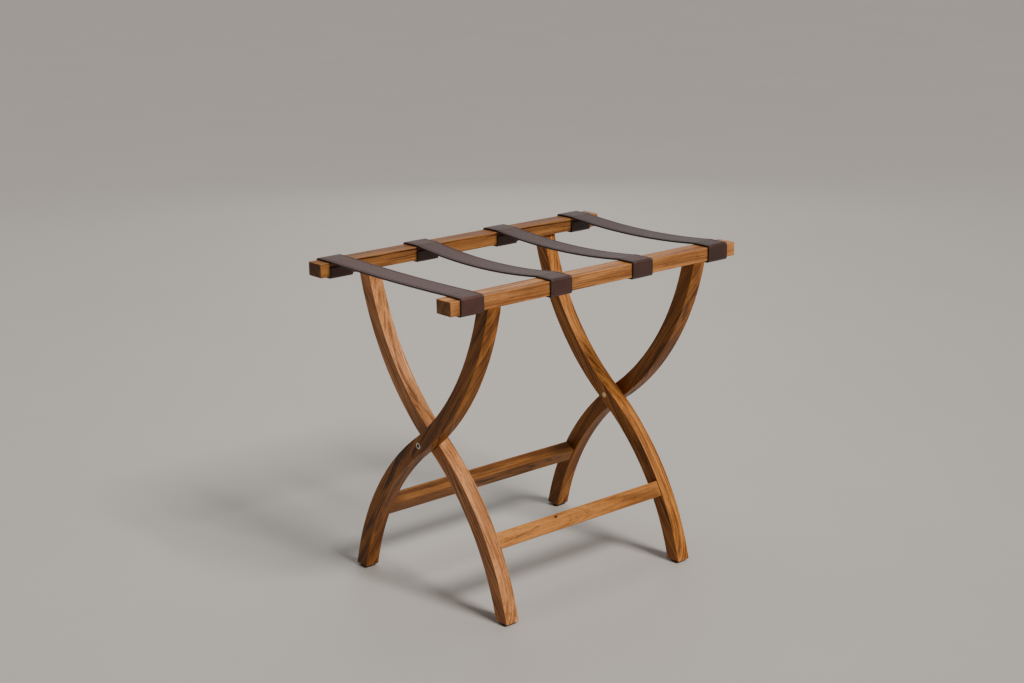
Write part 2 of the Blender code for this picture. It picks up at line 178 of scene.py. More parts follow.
# A knot: its centre, 1 / its half sizes across, up and along the grain, and the distance that it
# lifts the growth bands by.
Knot = namedtuple("Knot", "centre reach lift")
BOLT_KNOT = Knot((-0.2542, 0.008, 0.280), (150.0, 190.0, 19.0), 0.004)
STRETCHER_KNOT = Knot((-0.060, -0.146, 0.146), (170.0, 170.0, 110.0), 0.004)
WOOD_CUTS = {
    "rail_front": WoodCut(0.046, 1.0, (1.26, 1.28, 1.55), 0.62),
    "rail_back": WoodCut(0.058, 2.0, (0.72, 0.68, 0.66), 1.1),
    "outer_leg_left": WoodCut(0.040, 3.0, (0.86, 0.74, 0.42), 1.1, (BOLT_KNOT,)),
    "outer_leg_right": WoodCut(0.050, 4.0, (0.78, 0.68, 0.42), 1.0),
    "inner_leg_left": WoodCut(0.036, 5.0, (1.55, 1.60, 2.30), 0.72),
    "inner_leg_right": WoodCut(0.044, 6.0, (1.26, 1.16, 0.95), 1.0),
    "stretcher_front": WoodCut(0.052, 7.0, (1.12, 1.08, 0.98), 0.50, (STRETCHER_KNOT,)),
    "stretcher_back": WoodCut(0.042, 8.0, (0.66, 0.62, 0.55), 1.1),
}


# ---------------------------------------------------------------- settings

def length(name, description, default, low=0.0, high=1.0):
    return FloatProperty(
        name=name, description=description, default=default, min=low, max=high,
        subtype="DISTANCE", unit="LENGTH", precision=4,
    )


def colour(name, description, default):
    return FloatVectorProperty(
        name=name, description=description, default=default, min=0.0, max=1.0, size=3, subtype="COLOR",
    )


class RackSizes(bpy.types.PropertyGroup):
    """Sizes of the visible detail."""

    rail_edge: length("Rail edge", "Rounding of the rails' long edges", 0.0015)
    wood_edge: length("Leg edge", "Rounding of the legs' and stretchers' long edges", 0.0016)
    leg_radius: length("Leg radius", "Radius of both arcs of a leg's centre line", 0.478)
    leg_slope: FloatProperty(
        name="Leg slope", description="Slope of a leg at the pivot, from the vertical",
        default=math.radians(54.4), subtype="ANGLE", unit="ROTATION",
    )
    leg_depth: length("Leg depth", "Depth of a leg in the plane that it curves in", 0.030)
    stretcher_depth: length("Stretcher depth", "Across the legs", 0.026)
    stretcher_width: length("Stretcher width", "Along the legs", 0.029)
    strap_tail: length("Strap tail", "From the rail's underside to the end of the strap's tail", 0.0175)
    strap_edge: length("Strap edge", "Rounding of the leather's edges", 0.0011)
    stitch_inset: length("Stitch inset", "From the strap's edge to a row of stitches", 0.0046)
    stitch_pitch: length("Stitch pitch", "From one stitch to the next", 0.0044)
    stitch_length: length("Stitch length", "Visible length of one stitch", 0.0033)
    stitch_radius: length("Stitch radius", "Radius of the thread", 0.00040)
    bore_depth: length("Counterbore depth", "Of the hole that the bolt's head sits in", 0.0037)
    bore_radius: length("Counterbore radius", "Of the hole that the bolt's head sits in", 0.0063)
    bolt_radius: length("Bolt radius", "Radius of the pivot bolt's shaft", 0.0030)
    head_radius: length("Bolt head radius", "Radius of the pivot bolt's head", 0.0060)
    head_thickness: length("Bolt head thickness", "Thickness of the pivot bolt's head", 0.0030)
    hex_radius: length("Socket radius", "Middle to flat of the hexagon socket", 0.0028)
    hex_depth: length("Socket depth", "Depth of the hexagon socket", 0.0020)
    nut_radius: length("Nut radius", "Radius of the barrel nut", 0.0045)
    cap_radius: length("Cap radius", "Radius of the barrel nut's cap", 0.0055)
    cap_thickness: length("Cap thickness", "Thickness of the barrel nut's cap", 0.0016)
    tack_radius: length("Tack radius", "Radius of the tacks that hold the straps", 0.0024)


class RackColours(bpy.types.PropertyGroup):
    """Colours of the finishes, in linear light."""

    wood_light: colour("Light wood", "Palest bands of the wood", (0.52, 0.222, 0.060))
    wood_middle: colour("Wood", "Ground colour of the wood", (0.26, 0.088, 0.015))
    wood_dark: colour("Dark wood", "Dark streaks in the wood", (0.060, 0.018, 0.0045))
    wood_vein: colour("Veins", "Thin lines and pores in the wood", (0.014, 0.005, 0.002))
    leather: colour("Leather", "Finished face of the straps", (0.064, 0.0205, 0.0150))
    # The edges' colour also darkens the creases and, dimmed, the grooves under the stitches: painted
    # shade.
    leather_edge: colour("Leather edge", "Painted edges of the straps", (0.026, 0.0105, 0.0075))
    thread: colour("Thread", "Stitching", (0.115, 0.062, 0.048))
    nickel: colour("Nickel", "Bolt heads", (0.66, 0.64, 0.59))
    brass: colour("Brass", "Barrel nuts' caps", (0.78, 0.60, 0.32))
    socket: colour("Socket", "Inside of the bolts' hexagon sockets", (0.115, 0.078, 0.026))
    nylon: colour("Nylon", "Glides and washers", (0.018, 0.016, 0.015))
    scuff: colour("Scuffs", "Where the nylon is rubbed", (0.075, 0.07, 0.065))
    dowel_light: colour("Light dowel", "Palest fibres of the dowels", (0.60, 0.42, 0.24))
    dowel_dark: colour("Dark dowel", "Darkest fibres of the dowels", (0.42, 0.27, 0.13))
    floor: colour("Floor", "Plain floor", (0.54, 0.51, 0.475))


def sizes():
    return bpy.context.scene.rack_sizes


def colours():
    return bpy.context.scene.rack_colours


# ---------------------------------------------------------------- shader maths

def maths_node(operation, swapped=False):
    """An operator that adds a Math node for a wire and the value or wire beside it, if there is one."""

    def add(self, *other):
        pair = (*other, self) if swapped else (self, *other)
        return self.finish.node("ShaderNodeMath", {"operation": operation}, dict(enumerate(pair)))

    return add


class Wire:
    """A node's output socket, with the operators that add Math nodes for values."""

    def __init__(self, finish, socket):
        self.finish = finish
        self.socket = socket

    __add__ = __radd__ = maths_node("ADD")
    __sub__ = maths_node("SUBTRACT")
    __rsub__ = maths_node("SUBTRACT", swapped=True)
    __mul__ = __rmul__ = maths_node("MULTIPLY")
    __pow__ = maths_node("POWER")
    part = maths_node("FRACT")
    size = maths_node("ABSOLUTE")

    def ease(self, low, high):
        """0 below low, 1 above high and a smooth step between; low may be the larger."""
        settings = {"interpolation_type": "SMOOTHSTEP"}
        inputs = {0: self, 1: low, 2: high, 3: 0.0, 4: 1.0}
        return self.finish.node("ShaderNodeMapRange", settings, inputs)


class Finish:
    """A material made of nodes, with one Principled shader, or the world with its background."""

    def __init__(self, name, shader="Principled BSDF"):
        self.material = bpy.data.materials.new(name) if isinstance(name, str) else name
        self.material.use_nodes = True
        self.tree = self.material.node_tree
        self.shader = self.tree.nodes[shader]

    def node(self, kind, settings=None, inputs=None, output=0):
        """Adds a node of a type, with its settings, then values or wires for its sockets."""
        made = self.tree.nodes.new(kind)
        for key, value in (settings or {}).items():
            setattr(made, key, value)
        for key, value in (inputs or {}).items():
            self.feed(made.inputs[key], value)
        return Wire(self, made.outputs[output])

    def feed(self, socket, value):
        if isinstance(value, Wire):
            self.tree.links.new(value.socket, socket)
        else:
            socket.default_value = value

    def set(self, **values):
        """Sets or links the Principled shader's sockets, named with _ for a space."""
        for key, value in values.items():
            self.feed(self.shader.inputs[key.replace("_", " ")], value)

    def mix(self, factor, first, second):
        settings = {"data_type": "RGBA", "clamp_factor": True}
        inputs = {0: factor, 6: self.opaque(first), 7: self.opaque(second)}
        return self.node("ShaderNodeMix", settings, inputs, output=2)

    @staticmethod
    def opaque(shade):
        return shade if isinstance(shade, Wire) else (*shade, 1.0)

    def scaled(self, vector, factors):
        """A vector with its parts multiplied by three factors."""
        return self.node("ShaderNodeVectorMath", {"operation": "MULTIPLY"}, {0: vector, 1: factors})

    def noise(self, vector, scale=1.0, detail=2.0, roughness=0.5, distortion=0.0):
        inputs = {"Vector": vector, "Scale": scale, "Detail": detail, "Roughness": roughness}
        inputs["Distortion"] = distortion
        return self.node("ShaderNodeTexNoise", {}, inputs)

    def stretched_noise(self, vector, factors, detail, roughness):
        """Noise that is finer along each axis by its factor."""
        return self.noise(self.scaled(vector, factors), 1.0, detail, roughness)

    def noise_along(self, value, scale=1.0, detail=2.0, roughness=0.5):
        """Noise on a line, read at a value."""
        inputs = {"W": value, "Scale": scale, "Detail": detail, "Roughness": roughness}
        return self.node("ShaderNodeTexNoise", {"noise_dimensions": "1D"}, inputs)

    def cells(self, vector, scale, feature="F1"):
        return self.node("ShaderNodeTexVoronoi", {"feature": feature}, {"Vector": vector, "Scale": scale})

    def object_place(self):
        coordinates = self.tree.nodes.new("ShaderNodeTexCoord")
        return Wire(self, coordinates.outputs["Object"])

    def attribute(self, name):
        return self.node("ShaderNodeAttribute", {"attribute_name": name}, output=2)

    def split(self, vector):
        parts = self.tree.nodes.new("ShaderNodeSeparateXYZ")
        self.tree.links.new(vector.socket, parts.inputs[0])
        return [Wire(self, output) for output in parts.outputs]

    def bump(self, height, distance, strength=1.0):
        inputs = {"Height": height, "Distance": distance, "Strength": strength}
        return self.node("ShaderNodeBump", {}, inputs)


def dimmed(shade, factor):
    return tuple(part * factor for part in shade)


def grain_turn(grain, face):
    """The turn that takes the grain to Z, and the side with the figure, as near as it can, to X."""
    grain = Vector(grain).normalized()
    face = Vector(face)
    face = (face - grain * face.dot(grain)).normalized()
    return Matrix((face, grain.cross(face), grain))


def wood_finish(name, centre, grain, face, pith, seed, shade, contrast, knots):
    """Oiled hardwood cut from a log whose pith is a line along the grain, at a distance from the centre.

    The distance from the pith, pushed about by slow noise, gives growth bands of uneven width and
    darkness. Stretched noise along the grain gives fibres and pores, and each knot lifts the bands
    round a point, so that they close into rings there, and darkens its middle.
    """
    paint = colours()
    finish = Finish(name)
    turn = grain_turn(grain, face)
    place = Vector((pith, 0.0, 0.7 * seed)) - turn @ Vector(centre)
    mapped = finish.node(
        "ShaderNodeMapping", {"vector_type": "POINT"},
        {"Vector": finish.object_place(), "Location": place, "Rotation": turn.to_euler()},
    )
    across, up = finish.split(mapped)[:2]
    sway = finish.stretched_noise(mapped, (7.0, 7.0, 1.7), 2.0, 0.45) - 0.5
    wobble = finish.stretched_noise(mapped, (46.0, 46.0, 9.0), 2.0, 0.5) - 0.5
    across = across + sway * 0.034 + wobble * 0.0045
    up = up + wobble * 0.0040
    distance = (across * across + up * up) ** 0.5
    darkening = None
    for centre, reach, lift in knots:
        spot = turn @ Vector(centre) + place
        offset = finish.node("ShaderNodeVectorMath", {"operation": "SUBTRACT"}, {0: mapped, 1: spot})
        span = finish.node(
            "ShaderNodeVectorMath", {"operation": "LENGTH"}, {0: finish.scaled(offset, reach)},
            output=1)
        distance = distance + span.ease(1.0, 0.0) * lift
        core = span.ease(0.55, 0.20)
        darkening = core if darkening is None else darkening + core
    bands = finish.noise_along(distance + seed * 0.37, 420.0, 4.0, 0.68)
    broad = finish.noise_along(distance + seed * 0.91, 75.0, 2.0, 0.55)
    vein = (finish.noise_along(distance + seed * 0.53, 150.0, 2.0, 0.6) - 0.5).size().ease(0.045, 0.006)
    patch = finish.stretched_noise(mapped, (70.0, 70.0, 8.0), 2.0, 0.55)
    thread = finish.stretched_noise(mapped, (620.0, 620.0, 10.0), 3.0, 0.6)
    fibre = finish.stretched_noise(mapped, (1700.0, 1700.0, 30.0), 3.0, 0.6)
    pores = finish.stretched_noise(mapped, (2100.0, 2100.0, 80.0), 1.0, 0.5).ease(0.60, 0.68)
    tint = broad.ease(0.30, 0.70) * 0.65 + patch.ease(0.35, 0.65) * 0.35
    ground = finish.mix(tint, paint.wood_middle, paint.wood_light)
    streak = bands.ease(0.48, 0.65) * (patch.ease(0.72, 0.34) * 0.50 + 0.40) * contrast
    toned = finish.mix(streak, ground, paint.wood_dark)
    veined = finish.mix(vein * patch.ease(0.62, 0.42) * 0.78 * contrast, toned, paint.wood_vein)
    threaded = finish.mix(thread.ease(0.50, 0.70) * 0.58, veined, paint.wood_dark)
    lit = finish.mix(fibre.ease(0.50, 0.74) * 0.25, threaded, paint.wood_light)
    pored = finish.mix(pores * 0.55, lit, paint.wood_vein)
    if darkening is not None:
        pored = finish.mix(darkening * 0.95, pored, dimmed(paint.wood_vein, 0.4))
    sawn = finish.mix(finish.attribute("end_grain") * 0.62, pored, paint.wood_dark)
    # Paler along the rounded edges: wear, and a painted highlight on the arrises.
    worn_and_painted_highlight = finish.mix(finish.attribute("edge") * 0.32, sawn, paint.wood_light)
    # The piece's shade multiplies its colour: its own tone, with painted light and shade on top.
    toned_with_painted_light = finish.node(
        "ShaderNodeMix", {"data_type": "RGBA", "blend_type": "MULTIPLY"},
        {0: 1.0, 6: worn_and_painted_highlight, 7: finish.opaque(shade)}, output=2)
    relief = fibre * 0.6 + thread * 0.4 - pores * 1.0
    finish.set(
        Base_Color=toned_with_painted_light,
        Roughness=0.40 + pores * 0.20 + fibre * 0.12,
        Normal=finish.bump(relief, 0.00014, 0.8),
        Specular_IOR_Level=0.22,
        Coat_Weight=0.05,
        Coat_Roughness=0.24,
    )
    return finish.material


def leather_finish():
    """Smooth-finished leather: small pebbled cells, fine creases darkened with painted shade, painted
    edges, pressed stitch lines darkened with painted shadow, and each strap's painted light and shade.
    """
    paint = colours()
    finish = Finish("stitched_leather")
    place = finish.object_place()
    warp = finish.noise(place, 260.0, 2.0, 0.5)
    pebble = finish.cells(place, 820.0)
    creases = finish.cells(place, 430.0, "DISTANCE_TO_EDGE").ease(0.10, 0.0)
    cloud = finish.noise(place, 34.0, 3.0, 0.55)
    scuffs = finish.stretched_noise(place, (90.0, 420.0, 420.0), 3.0, 0.6).ease(0.58, 0.80)
    edge = finish.attribute("edge")
    base = finish.mix(cloud.ease(0.32, 0.70), dimmed(paint.leather, 0.72), paint.leather)
    rubbed = finish.mix(scuffs * 0.22, base, tuple(min(1.0, part * 2.1 + 0.02) for part in paint.leather))
    # Darker along the fine creases: painted shade in them.
    creases_painted_shade = finish.mix(creases * 0.45, rubbed, paint.leather_edge)
    painted = finish.mix(edge, creases_painted_shade, paint.leather_edge)
    # Darker in the grooves under the rows of stitches: painted shadow in them.
    groove = finish.attribute("groove")
    groove_painted_shadow = finish.mix(groove * 0.85, painted, dimmed(paint.leather_edge, 0.30))
    # Each strap's own factor scales its leather: painted light and shade, lighter on the first strap and
    # darker on the last.
    shade = finish.attribute("shade")
    toned_with_painted_light = finish.node(
        "ShaderNodeVectorMath", {"operation": "SCALE"}, {0: groove_painted_shadow, "Scale": shade})
    relief = pebble * 0.55 - creases * 0.6 + warp * 0.25
    finish.set(
        Base_Color=toned_with_painted_light,
        Roughness=0.40 + cloud * 0.12 - scuffs * 0.06 + edge * 0.05,
        Normal=finish.bump(relief, 0.00016, 0.55),
        Specular_IOR_Level=0.45,
        Sheen_Weight=0.10,
        Sheen_Roughness=0.45,
    )
    return finish.material


def thread_finish():
    """Waxed thread: strands that wind round each stitch."""
    finish = Finish("waxed_thread")
    strands = (finish.attribute("twist").part() - 0.5).size().ease(0.0, 0.5)
    shade = finish.mix(strands * 0.6, colours().thread, dimmed(colours().thread, 1.9))
    finish.set(Base_Color=shade, Roughness=0.55, Normal=finish.bump(strands, 0.00008, 0.8))
    return finish.material


def metal_finish(name, shade, roughness, hollow=None):
    """Turned metal: faint tool marks, a little tarnish, and another colour in its hollows, if given."""
    finish = Finish(name)
    place = finish.object_place()
    tarnish = finish.noise(place, 260.0, 3.0, 0.6)
    marks = finish.stretched_noise(place, (900.0, 5200.0, 5200.0), 2.0, 0.5)
    dulled = finish.mix(tarnish.ease(0.45, 0.80) * 0.5, shade, dimmed(shade, 0.42))
    if hollow is not None:
        dulled = finish.mix(finish.attribute("hollow"), dulled, hollow)
    finish.set(
        Base_Color=dulled,
        Metallic=1.0,
        Roughness=roughness + tarnish * 0.14,
        Normal=finish.bump(marks, 0.00003, 0.6),
    )
    return finish.material


def bolt_finish():
    return metal_finish("turned_nickel", colours().nickel, 0.27, hollow=colours().socket)


def brass_finish():
    return metal_finish("turned_brass", colours().brass, 0.30)


def nylon_finish():
    """Moulded nylon, scuffed where it slides."""
    finish = Finish("moulded_nylon")
    place = finish.object_place()
    scuff = finish.noise(place, 700.0, 3.0, 0.65)
    shade = finish.mix(scuff.ease(0.52, 0.80) * 0.5, colours().nylon, colours().scuff)
    finish.set(Base_Color=shade, Roughness=0.50 + scuff * 0.2, Normal=finish.bump(scuff, 0.00006, 0.6))
    return finish.material


def dowel_finish():
    """Plain pale dowel with straight fibres."""
    finish = Finish("pale_dowel")
    fibre = finish.stretched_noise(finish.object_place(), (700.0, 700.0, 60.0), 2.0, 0.6)
    finish.set(
        Base_Color=finish.mix(fibre, colours().dowel_dark, colours().dowel_light),
        Roughness=0.62,
        Normal=finish.bump(fibre, 0.0001),
    )
    return finish.material


def floor_finish():
    """Pale matt floor with very faint clouding."""
    finish = Finish("plain_floor")
    cloud = finish.noise(finish.object_place(), 1.6, 4.0, 0.6)
    shade = finish.mix(cloud, dimmed(colours().floor, 0.93), colours().floor)
    finish.set(Base_Color=shade, Roughness=0.58)
    return finish.material


def kept(maker):
    """A finish that several pieces share, made the first time that it is asked for."""
    if maker not in SHARED_FINISHES:
        SHARED_FINISHES[maker] = maker()
    return SHARED_FINISHES[maker]


# ---------------------------------------------------------------- surfaces

def add_mesh(name, points, faces, finish, body=None, slot=None, replaces=(), marks=None):
    """A mesh object at the origin, smooth but for its sharp edges, with marks on its points."""
    mesh = bpy.data.meshes.new(name)
    mesh.from_pydata(points, [], faces)
    shell = bmesh.new()
    shell.from_mesh(mesh)
    bmesh.ops.recalc_face_normals(shell, faces=shell.faces)
    shell.to_mesh(mesh)
    shell.free()
    mesh.materials.append(finish)
    mesh.shade_smooth()
    mesh.set_sharp_from_angle(angle=SHARP_ANGLE)
    piece = bpy.data.objects.new(name, mesh)
    bpy.context.scene.collection.objects.link(piece)
    for mark, values in (marks or {}).items():
        attribute = mesh.attributes.new(mark, "FLOAT", "POINT")
        attribute.data.foreach_set("value", np.asarray(values, np.float32).ravel())
    for node in replaces:
        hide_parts(node)
    if isinstance(body, str):
        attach(piece, body)
    return piece


def tube_faces(rings, around, first=0, capped=True):
    """Quads between rings of points, each joined round, and a flat face over each end."""
    ring = np.arange(rings - 1)[:, None] * around
    here = np.arange(around)[None, :]
    after = (here + 1) % around
    quads = np.stack([ring + here, ring + after, ring + around + after, ring + around + here], axis=-1)
    faces = (quads.reshape(-1, 4) + first).tolist()
    if capped:
        faces.append((np.arange(around)[::-1] + first).tolist())
        faces.append((np.arange(around) + (rings - 1) * around + first).tolist())
    return faces


def rounded_rectangle(half_wide, half_tall, radius, steps=5):
    """Points round a rectangle with round corners, with a closer pair of points beside each corner.

    Returns the points and a mark that is 1 on the corners' arcs and 0 on the flats.
    """
    points = []
    marks = []
    beside = radius * BESIDE_CORNER
    for quadrant in range(4):
        start = quadrant * math.pi / 2
        angle = start + np.linspace(0.0, math.pi / 2, steps + 1)
        cx = (half_wide - radius) * (1 if quadrant in (0, 3) else -1)
        cy = (half_tall - radius) * (1 if quadrant in (0, 1) else -1)
        arc = np.stack([cx + radius * np.cos(angle), cy + radius * np.sin(angle)], axis=1)
        before = arc[0] - beside * np.array([-math.sin(start), math.cos(start)])
        after = arc[-1] - beside * np.array([math.cos(start), math.sin(start)])
        points += [before, *arc, after]
        marks += [0.0, 0.0] + [1.0] * (steps - 1) + [0.0, 0.0]
    return np.array(points), np.array(marks)


def end_rounding(radius, steps=4):
    """Pairs (inset, step back) of a quarter turn at a bar's end, from the full outline to the flat."""
    angle = np.linspace(0.0, math.pi / 2, steps + 1)
    return radius * (1 - np.cos(angle)), radius * (1 - np.sin(angle))


def straight_bar(name, centre_y, centre_z, half_x, half_deep, half_tall, tilt, radius, finish, **rest):
    """A bar along X: a round-cornered outline, turned by a tilt about X, with softly rounded ends."""
    outline, marks = rounded_rectangle(half_deep, half_tall, radius)
    inset, back = end_rounding(radius * BAR_END)
    ends_inset = np.append(inset, inset[-1] + END_FLAT)
    ends_back = np.append(back, 0.0)
    middle = np.linspace(-1.0, 1.0, BAR_RINGS + 2)[1:-1] * (half_x - ends_back[0] * 1.5)
    x = np.concatenate([-(half_x - ends_back[::-1]), middle, half_x - ends_back])
    pull = np.concatenate([ends_inset[::-1], np.zeros(len(middle)), ends_inset])
    grow_deep = 1 - pull / half_deep
    grow_tall = 1 - pull / half_tall
    deep = outline[None, :, 0] * grow_deep[:, None]
    tall = outline[None, :, 1] * grow_tall[:, None]
    y = centre_y + deep * math.cos(tilt) + tall * math.sin(tilt)
    z = centre_z - deep * math.sin(tilt) + tall * math.cos(tilt)
    points = np.stack([np.broadcast_to(x[:, None], y.shape), y, z], axis=-1)
    near_end = np.ones(len(ends_inset))
    ring_mark = np.concatenate([near_end, np.zeros(len(middle)), near_end])
    ring_mark[[0, 1, -1, -2]] = 0.0
    sawn = np.zeros(len(x))
    sawn[[0, 1, -1, -2]] = 1.0
    found = {
        "edge": np.maximum(np.broadcast_to(marks[None, :], y.shape), ring_mark[:, None]),
        "end_grain": np.broadcast_to(sawn[:, None], y.shape),
    }
    faces = tube_faces(len(x), len(outline))
    return add_mesh(name, points.reshape(-1, 3), faces, finish, marks=found, **rest)


def leg_surface(x_centre, toward, top, bottom, half_wide, half_deep, radius):
    """An S-shaped leg that rises toward the front or the back.

    Its centre line is two arcs of one radius that meet at the pivot with a common tangent. A point
    keeps its offset from that line, and runs on its own arc from the pivot to the height of the end,
    so both ends are cut level. The last rings draw in to round the ends.
    """
    size = sizes()
    outline, marks = rounded_rectangle(half_wide, half_deep, radius)
    inset, back = end_rounding(radius * LEG_END)
    inset = np.append(inset, inset[-1] + END_FLAT)
    back = np.append(back, 0.0)
    share = np.linspace(0.0, 1.0, LEG_RINGS)
    rise = size.leg_radius * math.sin(size.leg_slope)
    reach = size.leg_radius * math.cos(size.leg_slope)
    rings_x, rings_y, rings_z = [], [], []
    spans = [(-1, 1.0, pull, step) for pull, step in zip(inset[::-1], back[::-1])]
    spans += [(-1, part, 0.0, back[0]) for part in share[-2:0:-1]]
    spans += [(1, part, 0.0, back[0]) for part in share[:-1]]
    spans += [(1, 1.0, pull, step) for pull, step in zip(inset, back)]
    for half, part, pull, step in spans:
        x = x_centre + outline[:, 0] * (1 - pull / half_wide)
        offset = outline[:, 1] * (1 - pull / half_deep)
        own = size.leg_radius + half * offset
        end = top - step if half > 0 else bottom + step
        last = np.arcsin((half * (PIVOT_HEIGHT - end) + rise) / own)
        angle = size.leg_slope + (last - size.leg_slope) * part
        rings_x.append(x)
        rings_y.append(toward * half * (own * np.cos(angle) - reach))
        rings_z.append(PIVOT_HEIGHT + half * (rise - own * np.sin(angle)))
    points = np.stack([rings_x, rings_y, rings_z], axis=-1)
    rings = len(spans)
    sawn = np.zeros(rings)
    sawn[[0, 1, -1, -2]] = 1.0
    drawn = np.array([1.0 if 0 < pull < inset[-2] else 0.0 for half, part, pull, step in spans])
    edge = np.maximum(np.broadcast_to(marks[None, :], points.shape[:2]), drawn[:, None])
    return points, edge, np.broadcast_to(sawn[:, None], points.shape[:2])


def quarter_turn(centre, wide, tall, count):
    """Points (radius, height) along a quarter of an ellipse, from its side to its top."""
    turns = np.linspace(0, math.pi / 2, count)
    return [(centre[0] + wide * math.cos(turn), centre[1] + tall * math.sin(turn)) for turn in turns]


def turned(name, profile, centre, axis, finish, sides=TURNED_SIDES, hexagon=None, **rest):
    """A turned piece: each (radius, height) of a profile swept round an axis.

    The profile starts and ends on the axis, where it closes in one point. Rings listed in hexagon
    take the outline of a hexagon of the same inner radius.
    """
    axis = np.asarray(axis, float)
    side = np.cross(axis, (0.0, 0.0, 1.0) if abs(axis[2]) < 0.9 else (1.0, 0.0, 0.0))
    side /= np.linalg.norm(side)
    other = np.cross(axis, side)
    angle = np.arange(sides) * 2 * math.pi / sides
    radius = np.repeat(np.array([r for r, h in profile[1:-1]])[:, None], sides, axis=1)
    if hexagon:
        sixth = math.pi / 3
        stretch = 1 / np.cos((angle + sixth / 2) % sixth - sixth / 2)
        rows = np.array(hexagon) - 1
        radius[rows] *= stretch[None, :]
    height = np.array([h for r, h in profile])
    ring = (
        np.asarray(centre, float)
        + radius[:, :, None] * (np.cos(angle)[:, None] * side + np.sin(angle)[:, None] * other)
        + height[1:-1][:, None, None] * axis
    )
    first = np.asarray(centre, float) + height[0] * axis
    last = np.asarray(centre, float) + height[-1] * axis
    points = np.concatenate([first[None], ring.reshape(-1, 3), last[None]])
    rings = len(profile) - 2
    faces = tube_faces(rings, sides, first=1, capped=False)
    here = np.arange(sides)
    after = (here + 1) % sides
    faces += np.stack([np.zeros(sides, int), after + 1, here + 1], axis=1).tolist()
    base = 1 + (rings - 1) * sides
    faces += np.stack([np.full(sides, len(points) - 1), base + here, base + after], axis=1).tolist()
    return add_mesh(name, points, faces, finish, **rest)


# ---------------------------------------------------------------- straps

def strap_facts(number):
    """Painted light and shade of its leather, centre, half width, thickness, sag and hinge distances of a
    strap.
    """
    wrap_low, wrap_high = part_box("strap_%d_front_wrap" % number)
    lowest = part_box("strap_%d_front_middle" % number)[0][2]
    bend = JOINTS["strap_%d_front_bend" % number]
    curl = JOINTS["strap_%d_front_curl" % number]
    thickness = wrap_high[2] - RAIL_TOP - CLEARANCE
    return {
        "shade": STRAP_PAINTED_LIGHT[number - 1],
        "centre": (wrap_low[0] + wrap_high[0]) / 2,
        "half": (wrap_high[0] - wrap_low[0]) / 2,
        "thickness": thickness,
        "sag": RAIL_TOP + CLEARANCE - lowest,
        "hinge_y": abs(bend["pos_m"][1]),
        "curl_y": abs(curl["pos_m"][1]),
    }


def strap_section(half, thickness):
    """Outline of the leather across the strap: (across, out from the rail), clockwise from the top.

    The top is slightly crowned, with a groove under each row of stitches, and the round edges have a
    small groove where the two layers meet. Also gives marks for the painted edge and for the grooves,
    where the leather is darkened with painted shadow.
    """
    size = sizes()
    radius = size.strap_edge
    flat = half - radius
    row = half - size.stitch_inset
    lines = np.array([-row, row])
    steps = np.array([-2, -1, -0.5, 0, 0.5, 1, 2]) * GROOVE_HALF
    inner = np.linspace(MIDDLE_INSET - row, row - MIDDLE_INSET, 9)
    top_x = np.concatenate([[-flat, flat], *(line + steps for line in lines), inner])
    top_x = np.unique(np.round(top_x, 7))
    top_x = top_x[np.abs(top_x) <= flat + 1e-9]
    dip = np.exp(-((np.abs(top_x) - row) / (GROOVE_HALF * GROOVE_SPREAD)) ** 2)
    crown = STRAP_CROWN * (1 - (top_x / half) ** 2)
    top_z = thickness - GROOVE_DEPTH * dip + crown - STRAP_CROWN
    angle = np.linspace(math.pi / 2, -math.pi / 2, 11)[1:-1]
    seam = SEAM_DEPTH * np.exp(-(angle / SEAM_TURN) ** 2)
    side_x = flat + radius * np.cos(angle) - seam
    side_z = thickness / 2 + (thickness / 2) * np.sin(angle)
    bottom_x = np.array([flat, row + UNDER_HALF, row, row - UNDER_HALF, flat / 3])
    bottom_x = np.concatenate([bottom_x, -bottom_x[::-1]])
    bottom_dip = np.exp(-((np.abs(bottom_x) - row) / (GROOVE_HALF * GROOVE_SPREAD)) ** 2)
    bottom_z = UNDER_DEPTH * bottom_dip
    x = np.concatenate([top_x, side_x, bottom_x, -side_x[::-1]])
    z = np.concatenate([top_z, side_z, bottom_z, side_z[::-1]])
    edge = np.concatenate([
        np.where(np.abs(top_x) > flat - 1e-6, PAINT_FADE, 0.0), np.ones(len(side_x)),
        np.where(np.abs(bottom_x) > flat - 1e-6, PAINT_FADE, 0.0), np.ones(len(side_x)),
    ])
    groove = np.concatenate([dip, np.zeros(len(side_x)), bottom_dip, np.zeros(len(side_x))])
    return x, z, edge, groove


def wrap_path(facts):
    """The strap's inner face round the front rail, from its hinge to the tail: points and normals.

    It follows the rail's round-cornered outline: over the top, down the outer face, under, and up
    the inner face.
    """
    radius = sizes().rail_edge
    outer = -(RAIL_OUTER_Y - radius)
    inner = -(RAIL_INNER_Y + radius)
    top = RAIL_TOP - radius
    bottom = RAIL_BOTTOM + radius
    tail = RAIL_BOTTOM + sizes().strap_tail - sizes().strap_edge

    def flat(start, end, normal, steps):
        share = np.linspace(0, 1, steps)[:, None]
        line = np.array(start) + (np.array(end) - np.array(start)) * share
        return np.hstack([line, np.broadcast_to(normal, line.shape)])

    def corner(y, z, start):
        angle = start + np.linspace(0, math.pi / 2, 9)
        normal = np.stack([np.cos(angle), np.sin(angle)], axis=1)
        return np.hstack([np.array([y, z]) + radius * normal, normal])

    parts = [
        flat((-facts["hinge_y"], RAIL_TOP), (outer, RAIL_TOP), (0, 1), 14),
        corner(outer, top, math.pi / 2),
        flat((-RAIL_OUTER_Y, top), (-RAIL_OUTER_Y, bottom), (-1, 0), 9),
        corner(outer, bottom, math.pi),
        flat((outer, RAIL_BOTTOM), (inner, RAIL_BOTTOM), (0, -1), 12),
        corner(inner, bottom, 1.5 * math.pi),
        flat((-RAIL_INNER_Y, bottom), (-RAIL_INNER_Y, tail), (1, 0), 8),
    ]
    path = np.concatenate([part if not index else part[1:] for index, part in enumerate(parts)])
    return path[:, :2], path[:, 2:]


